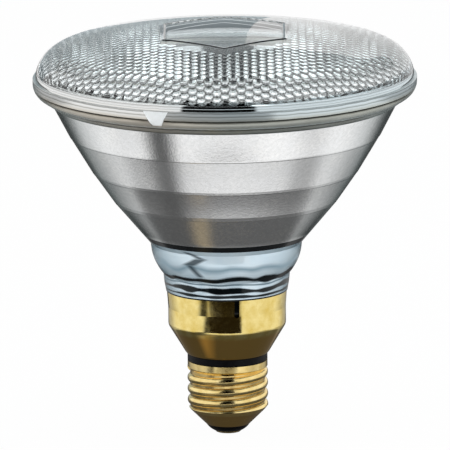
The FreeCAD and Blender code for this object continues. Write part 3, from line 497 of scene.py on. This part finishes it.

# Pressed clear glass, fire-polished: bright and almost smooth, with a faint waviness 3 mm
# across. Up to the edge of the mirror it shows the metal behind it, so the rim is painted
# as that: half metal and ringed with painted reflections and glints, with one clear line
# round the border.
lens_glass, tree, shader = new_finish("pressed_clear_glass", IOR=1.5)
where, across, along, height = place_on_lamp(tree)
sealed = add_node(tree, "MapRange", height, SILVERED_EDGE - 0.1, SILVERED_EDGE + 0.1, 1.0, 0.0)
facing = add_node(tree, "LayerWeight", Blend=0.5, gives="Facing")
ringed = add_node(tree, "Mix", add_node(tree, "MapRange", facing, 0.7, 0.95),
                  rings_of_rim(tree, where, across, height), "#7F9092", data_type="RGBA")
border = add_node(tree, "MapRange", height, LIP_TOP, LIP_TOP + 0.2)
off_line = add_node(tree, "Math", height, BORDER_LINE, operation="SUBTRACT")
off_line = add_node(tree, "Math", off_line, operation="ABSOLUTE")
off_line = add_node(tree, "MapRange", off_line, 0.05, 0.1)
metal = add_node(tree, "MapRange", border, 0, 1, 0.5, 1.0)
metal = add_node(tree, "Math", metal, off_line, operation="MULTIPLY")
satin = add_node(tree, "MapRange", border, 0, 1, 0.18, 0.05)
waves = add_node(tree, "TexNoise", where, Scale=1 / 3.0, Detail=2.0)
plug(shader, {
    "Base Color": add_node(tree, "Mix", sealed, "#F8FDFE", ringed, data_type="RGBA"),
    "Metallic": add_node(tree, "Math", sealed, metal, operation="MULTIPLY"),
    "Roughness": add_node(tree, "Math", sealed, satin, operation="MULTIPLY"),
    "Transmission Weight": add_node(tree, "Math", 1.0, sealed, operation="SUBTRACT"),
    "Normal": add_node(tree, "Bump", Strength=0.08, Distance=0.05 * MM, Height=waves)})
lens_piece = lens.finish("pressed_lens", lens_glass, "lens_glass", 16)
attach(lens_piece, "root")
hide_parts("front_lens")


# Lug. A small tapered tongue of the lens's glass, pressed with it, that laps over the seam
# and sets how the lens sits on the bowl.
LUG_AZIMUTH = math.radians(20.9)
LUG_TOP_WIDTH = 8.4
LUG_FOOT_WIDTH = 3.0
LUG_TOP = LIP_TOP - 0.1
LUG_FOOT = 113.0
LUG_PROUD = 0.12
LUG_THICKNESS = 1.0
LUG_FOOT_TUCK = 0.35
LUG_SIDE_TUCK = 0.12
lug = Solid()
rows = []
for share in np.linspace(0, 1, 9):
    level = LUG_TOP + (LUG_FOOT - LUG_TOP) * share
    half = (LUG_TOP_WIDTH + (LUG_FOOT_WIDTH - LUG_TOP_WIDTH) * share) / 2
    sag = max(0.0, RIM_WIDEST - level)
    face = RIM_RADIUS - FLANGE_ROUND + math.sqrt(FLANGE_ROUND ** 2 - sag ** 2) + LUG_PROUD
    face -= LUG_FOOT_TUCK * share ** 6
    loop = [(face - LUG_SIDE_TUCK * abs(side) ** 8, side) for side in np.linspace(-1, 1, 7)]
    loop += [(face - LUG_THICKNESS, side) for side in np.linspace(1, -1, 7)]
    turns = [-math.pi / 2 - LUG_AZIMUTH + side * half / face for reach, side in loop]
    rows.append(lug.add([(reach * math.cos(turn), reach * math.sin(turn), level)
                         for (reach, side), turn in zip(loop, turns)]))
for lower, upper in zip(rows, rows[1:]):
    lug.band(lower, upper)
lug.faces += [tuple(reversed(rows[0])), tuple(rows[-1])]

# Fire-polished glass, glossy and painted almost white: the white is a painted highlight
lug_glass, tree, shader = new_finish("fire_polished_lug_glass", IOR=1.5, Roughness=0.15)
where, across, along, height = place_on_lamp(tree)
highlight_mottle = add_node(tree, "MapRange", add_node(tree, "TexNoise", where, Scale=1 / 1.2, Detail=2.0),
                0.3, 0.7)
plug(shader, {"Base Color": add_node(tree, "Mix", highlight_mottle, "#F7F6F4", "#FFFFFF", data_type="RGBA")})
lug_piece = lug.finish("lens_lug", lug_glass, "lens_glass", 40)
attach(lug_piece, "root")


# Base skirt. A thin brass cup, spun and slit at its top edge, that is crimped on the heel
# of the bowl and carries the insulator ring under its tapered foot.
SKIRT_TAPER = (34.2, 35.4)


def brass(name, pale, deep, roughness, red, redder_where_shaded):
    """Lacquered brass: mirror-like yellow metal with cloudy tarnish and uneven gloss.

    The tarnish is 3 mm across, the wear 1.6 mm with faint streaks, and the lacquer's
    orange peel, finer on the real sheet, 0.8 mm. It is painted redder and darker where the
    given mask says, as painted shade.
    """
    finish, tree, shader = new_finish(name, Metallic=1.0)
    where, across, along, height = place_on_lamp(tree)
    clouds = add_node(tree, "TexNoise", where, Scale=1 / 3.0, Detail=5.0)
    clouds = add_node(tree, "MapRange", clouds, 0.3, 0.68)
    clean = add_node(tree, "Mix", clouds, deep, pale, data_type="RGBA")
    streaks = add_node(tree, "TexWave", where, Scale=1 / 50, Distortion=9.0, Detail=3.0,
                       Detail_Scale=0.6, gives="Fac")
    streaks = add_node(tree, "MapRange", streaks, 0, 1, 0.85, 1.15)
    worn = add_node(tree, "TexNoise", where, Scale=1 / 1.6, Detail=2.0)
    worn = add_node(tree, "Math", worn, streaks, operation="MULTIPLY")
    peel = add_node(tree, "TexNoise", where, Scale=1 / 0.8, Detail=2.0)
    plug(shader, {
        "Base Color": add_node(tree, "Mix", redder_where_shaded(tree, across, along, height), clean, red,
                               data_type="RGBA"),
        "Roughness": add_node(tree, "MapRange", worn, 0.25, 0.75, roughness * 0.7, roughness * 1.5),
        "Normal": add_node(tree, "Bump", Strength=0.06, Distance=0.05 * MM, Height=peel)})
    return finish


def low_on_skirt(tree, across, along, height):
    """1 on the tapered foot of the skirt, where shade is painted."""
    return add_node(tree, "MapRange", height, *SKIRT_TAPER, 1.0, 0.0)


# The tapered foot is painted redder and darker, as painted shade
dress("base_skirt", brass("lacquered_spun_brass", "#F3DF96", "#DDC26A", 0.1, "#DCB465",
                          low_on_skirt))


# Insulator ring. A black phenolic moulding, clamped between the skirt and the screw shell,
# which it keeps apart.
def dark_moulding(name, colour, roughness):
    """A black insulator, deep and almost even in tone, with specks 0.6 mm across.

    The moulding is dull, and the cast glass has a wet gloss, as the roughness says.
    """
    finish, tree, shader = new_finish(name, Roughness=roughness, IOR=1.5, Specular_IOR_Level=0.12)
    where, across, along, height = place_on_lamp(tree)
    specks = add_node(tree, "TexNoise", where, Scale=1 / 0.6, Detail=2.0)
    specks = add_node(tree, "MapRange", specks, 0.4, 0.6)
    plug(shader, {"Base Color": add_node(tree, "Mix", specks, colour, "#0B0A0D",
                                         data_type="RGBA")})
    return finish


dress("insulator_ring", dark_moulding("black_phenolic", "#040306", 0.35))


# Screw shell. Thin drawn brass with a rolled round thread of 27 mm, closed over the black
# glass at its foot. It is painted redder and darker in the roots of the thread and under its
# lower bend, as painted shade.
THREAD_ROOT = (12.25, 12.95)
LOWER_BEND = (7.6, 8.4)


def in_thread_root(tree, across, along, height):
    """Painted shade: 1 under the lower bend, and less in the roots of the thread."""
    root = add_node(tree, "MapRange", distance(tree, across, along), *THREAD_ROOT, 0.4, 0.0)
    under_bend = add_node(tree, "MapRange", height, *LOWER_BEND, 1.0, 0.0)
    return add_node(tree, "Math", root, under_bend, operation="MAXIMUM")


dress("screw_shell", brass("rolled_thread_brass", "#FFE8A6", "#E8CB80", 0.16, "#DDB66B",
                           in_thread_root))


# Contact insulator. Black glass, cast hot into the foot of the shell, which holds the contact
# eyelet in its middle. It looks wet and black.
dress("contact_insulator", dark_moulding("black_glass_cast", "#050507", 0.12))


# Centre contact. An eyelet of plated brass in the black glass, with a dome of tin solder
# over the end of the lead wire. The same solder holds the other wire on the shell's edge.
# The plating is a soft yellow, and solder sets pale grey and half dull.
def plain_metal(name, pale, deep, roughness, lump):
    """Bare metal as it was drawn or as it set, with soft stains and dents of lump size."""
    finish, tree, shader = new_finish(name, Metallic=1.0, Roughness=roughness)
    where, across, along, height = place_on_lamp(tree)
    stains = add_node(tree, "TexNoise", where, Scale=1 / lump, Detail=2.0)
    stains = add_node(tree, "MapRange", stains, 0.35, 0.65)
    plug(shader, {
        "Base Color": add_node(tree, "Mix", stains, deep, pale, data_type="RGBA"),
        "Normal": add_node(tree, "Bump", Strength=0.15, Distance=0.05 * MM, Height=stains)})
    return finish


dress("contact_plate", plain_metal("plated_contact_brass", "#D9C48A", "#B79C5C", 0.3, 1.0))
solder = plain_metal("tin_solder", "#C9CBCD", "#9A9CA0", 0.35, 0.7)
dress("contact_solder", solder)
dress("side_weld", solder)


# Mount inside the bowl. A glass stub and a glass bridge, nickel-iron thimbles sealed
# through the floor, stiff nickel wires, and the tungsten coil with its anchor at the
# mirror's focus. The stem glass is clear and a little wavy where it was drawn in the flame,
# the thimbles are a dull warm grey, the wires paler, and the drawn tungsten dark.
stem_glass, tree, shader = new_finish("clear_stem_glass", Base_Color="#EAF4F4",
                                      Transmission_Weight=1.0, IOR=1.5, Roughness=0.02)
where, across, along, height = place_on_lamp(tree)
waves = add_node(tree, "TexNoise", where, Scale=1 / 1.5, Detail=2.0)
plug(shader, {"Normal": add_node(tree, "Bump", Strength=0.2, Distance=0.1 * MM, Height=waves)})
ferrule_metal = plain_metal("nickel_iron", "#B9B6AE", "#8F8C86", 0.3, 0.8)
lead_metal = plain_metal("nickel_wire", "#C4C2BC", "#A3A09A", 0.25, 0.6)
tungsten = plain_metal("drawn_tungsten", "#8C8A88", "#6B6967", 0.35, 0.3)
for node, finish in (("exhaust_tube", stem_glass), ("glass_bridge", stem_glass),
                     ("ferrule_left", ferrule_metal), ("ferrule_right", ferrule_metal),
                     ("lead_support_left", lead_metal), ("lead_support_right", lead_metal),
                     ("filament", tungsten), ("filament_anchor", tungsten)):
    dress(node, finish)


# Lead wires in the base. Bare drawn copper, pinkish and half dull, from the thimbles down to
# the shell and the contact.
copper = plain_metal("bare_copper", "#D99A6C", "#A9683E", 0.3, 0.6)
dress("lead_wire_contact", copper)
dress("lead_wire_shell", copper)


# Studio. A pale matt floor in a pale room, under three soft lights. Metal and glass see
# both as plain white, and the floor keeps the lamp's shadow.
FLOOR_GLOW_SHARE = 0.975
LAMP_MIDDLE = 0.07


def seen_plainly(tree):
    """1 for rays from the camera, off metal and through glass."""
    rays = add_node(tree, "LightPath").node.outputs
    mirrored = add_node(tree, "Math", rays["Is Glossy Ray"], rays["Is Transmission Ray"],
                        operation="MAXIMUM")
    return add_node(tree, "Math", rays["Is Camera Ray"], mirrored, operation="MAXIMUM")


def flat_sheet(name, corners, material):
    """A flat four-cornered part of the studio, in metres."""
    mesh = bpy.data.meshes.new(name)
    mesh.from_pydata(corners, [], [(0, 1, 2, 3)])
    mesh.materials.append(material)
    sheet = bpy.data.objects.new(name, mesh)
    bpy.context.scene.collection.objects.link(sheet)
    return sheet


def plain_material(name):
    """A material with nothing but its output, and that output."""
    material = bpy.data.materials.new(name)
    material.use_nodes = True
    tree = material.node_tree
    tree.nodes.remove(tree.nodes["Principled BSDF"])
    return material, tree, tree.nodes["Material Output"]


floor_paint, tree, output = plain_material("pale_floor")
share = add_node(tree, "Math", seen_plainly(tree), FLOOR_GLOW_SHARE, operation="MULTIPLY")
matt = add_node(tree, "BsdfDiffuse", "#F4F4F4")
white = add_node(tree, "Emission", "#FFFFFF", 1.0)
plug(output, {"Surface": add_node(tree, "MixShader", share, matt, white)})
flat_sheet("floor", [(-6, -6, 0), (6, -6, 0), (6, 6, 0), (-6, 6, 0)], floor_paint)

world = bpy.data.worlds.new("studio")
bpy.context.scene.world = world
world.use_nodes = True
tree = world.node_tree
plug(tree.nodes["Background"], {"Color": add_node(tree, "Mix", seen_plainly(tree), "#C4CACD",
                                                  "#FFFFFF", data_type="RGBA")})


def softbox(name, place, size, glow):
    """A square soft light that faces the lamp, as bright as a white card times glow."""
    light = bpy.data.lights.new(name, "AREA")
    light.size = size
    light.energy = glow * math.pi * size ** 2
    box = bpy.data.objects.new(name, light)
    bpy.context.scene.collection.objects.link(box)
    box.location = place
    box.rotation_mode = "QUATERNION"
    aim = Vector((0, 0, LAMP_MIDDLE)) - Vector(place)
    box.rotation_quaternion = aim.to_track_quat("-Z", "Y")
    box.visible_camera = False
    box.visible_glossy = False


softbox("left_softbox", (-0.9, -0.3, 0.45), 0.8, 1.3)
softbox("right_softbox", (0.9, -0.3, 0.45), 0.8, 1.5)
softbox("top_softbox", (0.1, 0.2, 1.3), 0.9, 1.2)


# Cards round the lamp. The lamp is a mirror and a lens, so its looks are those of the set:
# grey and dark cards that only reflections see, or only rays through glass, and a soft pool
# of shade on the floor. They are in millimetres, as the lamp is.
def card(name, corners, colour, seen_by):
    """A flat card that glows plainly and is seen by one kind of ray only."""
    material, tree, output = plain_material(name)
    glow = add_node(tree, "Emission", colour, 1.0)
    plug(output, {"Surface": glow})
    sheet = flat_sheet(name, [tuple(c * MM for c in p) for p in corners], material)
    for ray in ("camera", "diffuse", "glossy", "transmission", "volume_scatter", "shadow"):
        setattr(sheet, "visible_" + ray, ray == seen_by)
    return tree, glow.node


# The pool of shade under and behind the lamp. Each of its four parts has how far a point is
# from its middle, its reach, and its greys up to that reach, and the darkest part counts.
tree, glow = card("mirrored_shade", [(-900, -900, 0.4), (900, -900, 0.4), (900, 900, 0.4),
                                     (-900, 900, 0.4)], "#FFFFFF", "glossy")
where, across, along, height = place_on_lamp(tree)
under = add_node(tree, "Math", across, 6.0, operation="ADD")
under = add_node(tree, "Math", under, 1.6, operation="DIVIDE")
behind = add_node(tree, "Math", along, 115.0, operation="SUBTRACT")
right = add_node(tree, "Math", across, 84.0, operation="SUBTRACT")
right_along = add_node(tree, "Math", along, 24.0, operation="ADD")
shades = []
for place, reach, greys in (
        (distance(tree, under, along), 110,
         ((0, "#505050"), (15, "#585858"), (30, "#5C5C5C"), (39, "#626262"), (45, "#626262"),
          (51, "#707070"), (57, "#9C9C9C"), (64, "#D8D8D8"), (76, "#E6E6E6"), (86, "#FFFFFF"))),
        (distance(tree, across, behind), 180,
         ((0, "#565656"), (66, "#606060"), (100, "#B6B6B6"), (130, "#C8C8C8"), (170, "#FFFFFF"))),
        (distance(tree, right, right_along), 60,
         ((0, "#A0A0A0"), (14, "#A8A8A8"), (28, "#D2D2D2"), (46, "#FFFFFF"))),
        (along, 400,
         ((0, "#FFFFFF"), (90, "#FFFFFF"), (170, "#A8A8A8"), (240, "#747474"), (400, "#747474")))):
    shades.append(add_node(tree, "ValToRGB", add_node(tree, "MapRange", place, 0, reach),
                           stops=[(at / reach, grey) for at, grey in greys]))
pool, blob, right_blob, far_behind = shades
near = add_node(tree, "Mix", 1.0, pool, blob, data_type="RGBA", blend_type="DARKEN")
far = add_node(tree, "Mix", 1.0, right_blob, far_behind, data_type="RGBA", blend_type="DARKEN")
tone = add_node(tree, "Mix", 1.0, near, far, data_type="RGBA", blend_type="DARKEN")

# A dark streak runs out to the front left, which the cone mirrors as its upright shade
streak = add_node(tree, "Math", along, -0.44, across, operation="MULTIPLY_ADD")
streak = add_node(tree, "Math", streak, 51.0, operation="ADD")
streak = add_node(tree, "Math", streak, operation="ABSOLUTE")
streak = add_node(tree, "MapRange", streak, 10, 32, 1.0, 0.0)
forward = add_node(tree, "Math", along, -1.0, operation="MULTIPLY")
strength = add_node(tree, "MapRange", forward, 10, 60, 0.08, 0.97)
streak = add_node(tree, "Math", streak, strength, operation="MULTIPLY")
tone = add_node(tree, "Mix", streak, tone, "#1E1F1F", data_type="RGBA")

# A warm patch painted near the lamp gives the lower bands a painted reflection of the brass
warm = add_node(tree, "Math", across, 25.0, operation="ADD")
warm = add_node(tree, "Math", warm, operation="ABSOLUTE")
warm = add_node(tree, "MapRange", warm, 2, 13, 0.5, 0.0)
warm_from = add_node(tree, "MapRange", along, -46, -40)
warm_to = add_node(tree, "MapRange", along, -16, -8, 1.0, 0.0)
warm_along = add_node(tree, "Math", warm_from, warm_to, operation="MULTIPLY")
warm = add_node(tree, "Math", warm, warm_along, operation="MULTIPLY")
tone = add_node(tree, "Mix", warm, tone, "#C2AE88", data_type="RGBA")

# A dark wedge far in front is the upright dark patch on the skirt and the thread
wedge_front = add_node(tree, "MapRange", forward, 104, 108)
left_edge = add_node(tree, "Math", along, -0.85, operation="MULTIPLY")
left_edge = add_node(tree, "Math", across, left_edge, operation="ADD")
right_edge = add_node(tree, "Math", along, 0.52, operation="MULTIPLY")
right_edge = add_node(tree, "Math", across, right_edge, operation="ADD")
wedge = add_node(tree, "Math", add_node(tree, "MapRange", left_edge, 18, 28),
                 add_node(tree, "MapRange", right_edge, -8, 2, 1.0, 0.0), operation="MULTIPLY")
wedge = add_node(tree, "Math", wedge_front, wedge, operation="MULTIPLY")
plug(glow, {"Color": add_node(tree, "Mix", wedge, tone, "#241F17", data_type="RGBA")})

# The dark wall in front draws the black line on the lens's border and the dots between the
# lenslets. It fades at its ends in reflections.
tree, glow = card("front_wall", [(-450, -900, 0), (310, -900, 0), (310, -900, 1300),
                                 (-450, -900, 1300)], "#080807", "glossy")
where, across, along, height = place_on_lamp(tree)
fade = add_node(tree, "Math", add_node(tree, "MapRange", across, -450, -410, 1.0, 0.0),
                add_node(tree, "MapRange", across, 270, 310), operation="MAXIMUM")
plug(glow, {"Color": add_node(tree, "Mix", fade, "#080807", "#F4F4F4", data_type="RGBA")})
card("front_wall_through_glass", [(-470, -905, 0), (340, -905, 0), (340, -905, 1300),
                                  (-470, -905, 1300)], "#080807", "transmission")

# Above and behind, greys tone down the dome and its lenslets
card("dark_ceiling", [(-900, -900, 1300), (900, -900, 1300), (1500, 2000, 950),
                      (-1500, 2000, 950)], "#6E7578", "glossy")
card("dark_overhead", [(-300, -900, 1200), (200, -900, 1200), (200, 40, 1200),
                       (-300, 40, 1200)], "#060606", "transmission")
card("rear_grey", [(-1500, 2000, 0), (40, 2000, 0), (40, 2000, 950), (-1500, 2000, 950)],
     "#B4C0C5", "glossy")


# Camera, at the photograph's angle: 12 degrees above the lamp and three metres away, rolled
# a little as the lamp leans there. At that distance 9285 pixels of focal length give the
# photograph's 3.095 pixels to the millimetre.
CAMERA_RISE = math.radians(12)
CAMERA_DISTANCE = 3.0
CAMERA_SIDE = -0.0004
LOOK_AT_HEIGHT = 0.0688
FOCAL_PIXELS = 9285.4
PHOTO_PIXELS = 450
SENSOR = 36.0
LEAN = math.radians(-0.57)
camera_data = bpy.data.cameras.new("camera")
camera_data.sensor_width = SENSOR
camera_data.lens = FOCAL_PIXELS / PHOTO_PIXELS * SENSOR
camera_data.clip_end = 20
camera = bpy.data.objects.new("camera", camera_data)
bpy.context.scene.collection.objects.link(camera)
camera.location = (CAMERA_SIDE, -CAMERA_DISTANCE * math.cos(CAMERA_RISE),
                   LOOK_AT_HEIGHT + CAMERA_DISTANCE * math.sin(CAMERA_RISE))
looking = Vector((0, math.cos(CAMERA_RISE), -math.sin(CAMERA_RISE)))
camera.rotation_mode = "QUATERNION"
camera.rotation_quaternion = looking.to_track_quat("-Z", "Y") @ Quaternion((0, 0, 1), LEAN)
bpy.context.scene.camera = camera
bpy.context.scene.view_settings.view_transform = "Standard"
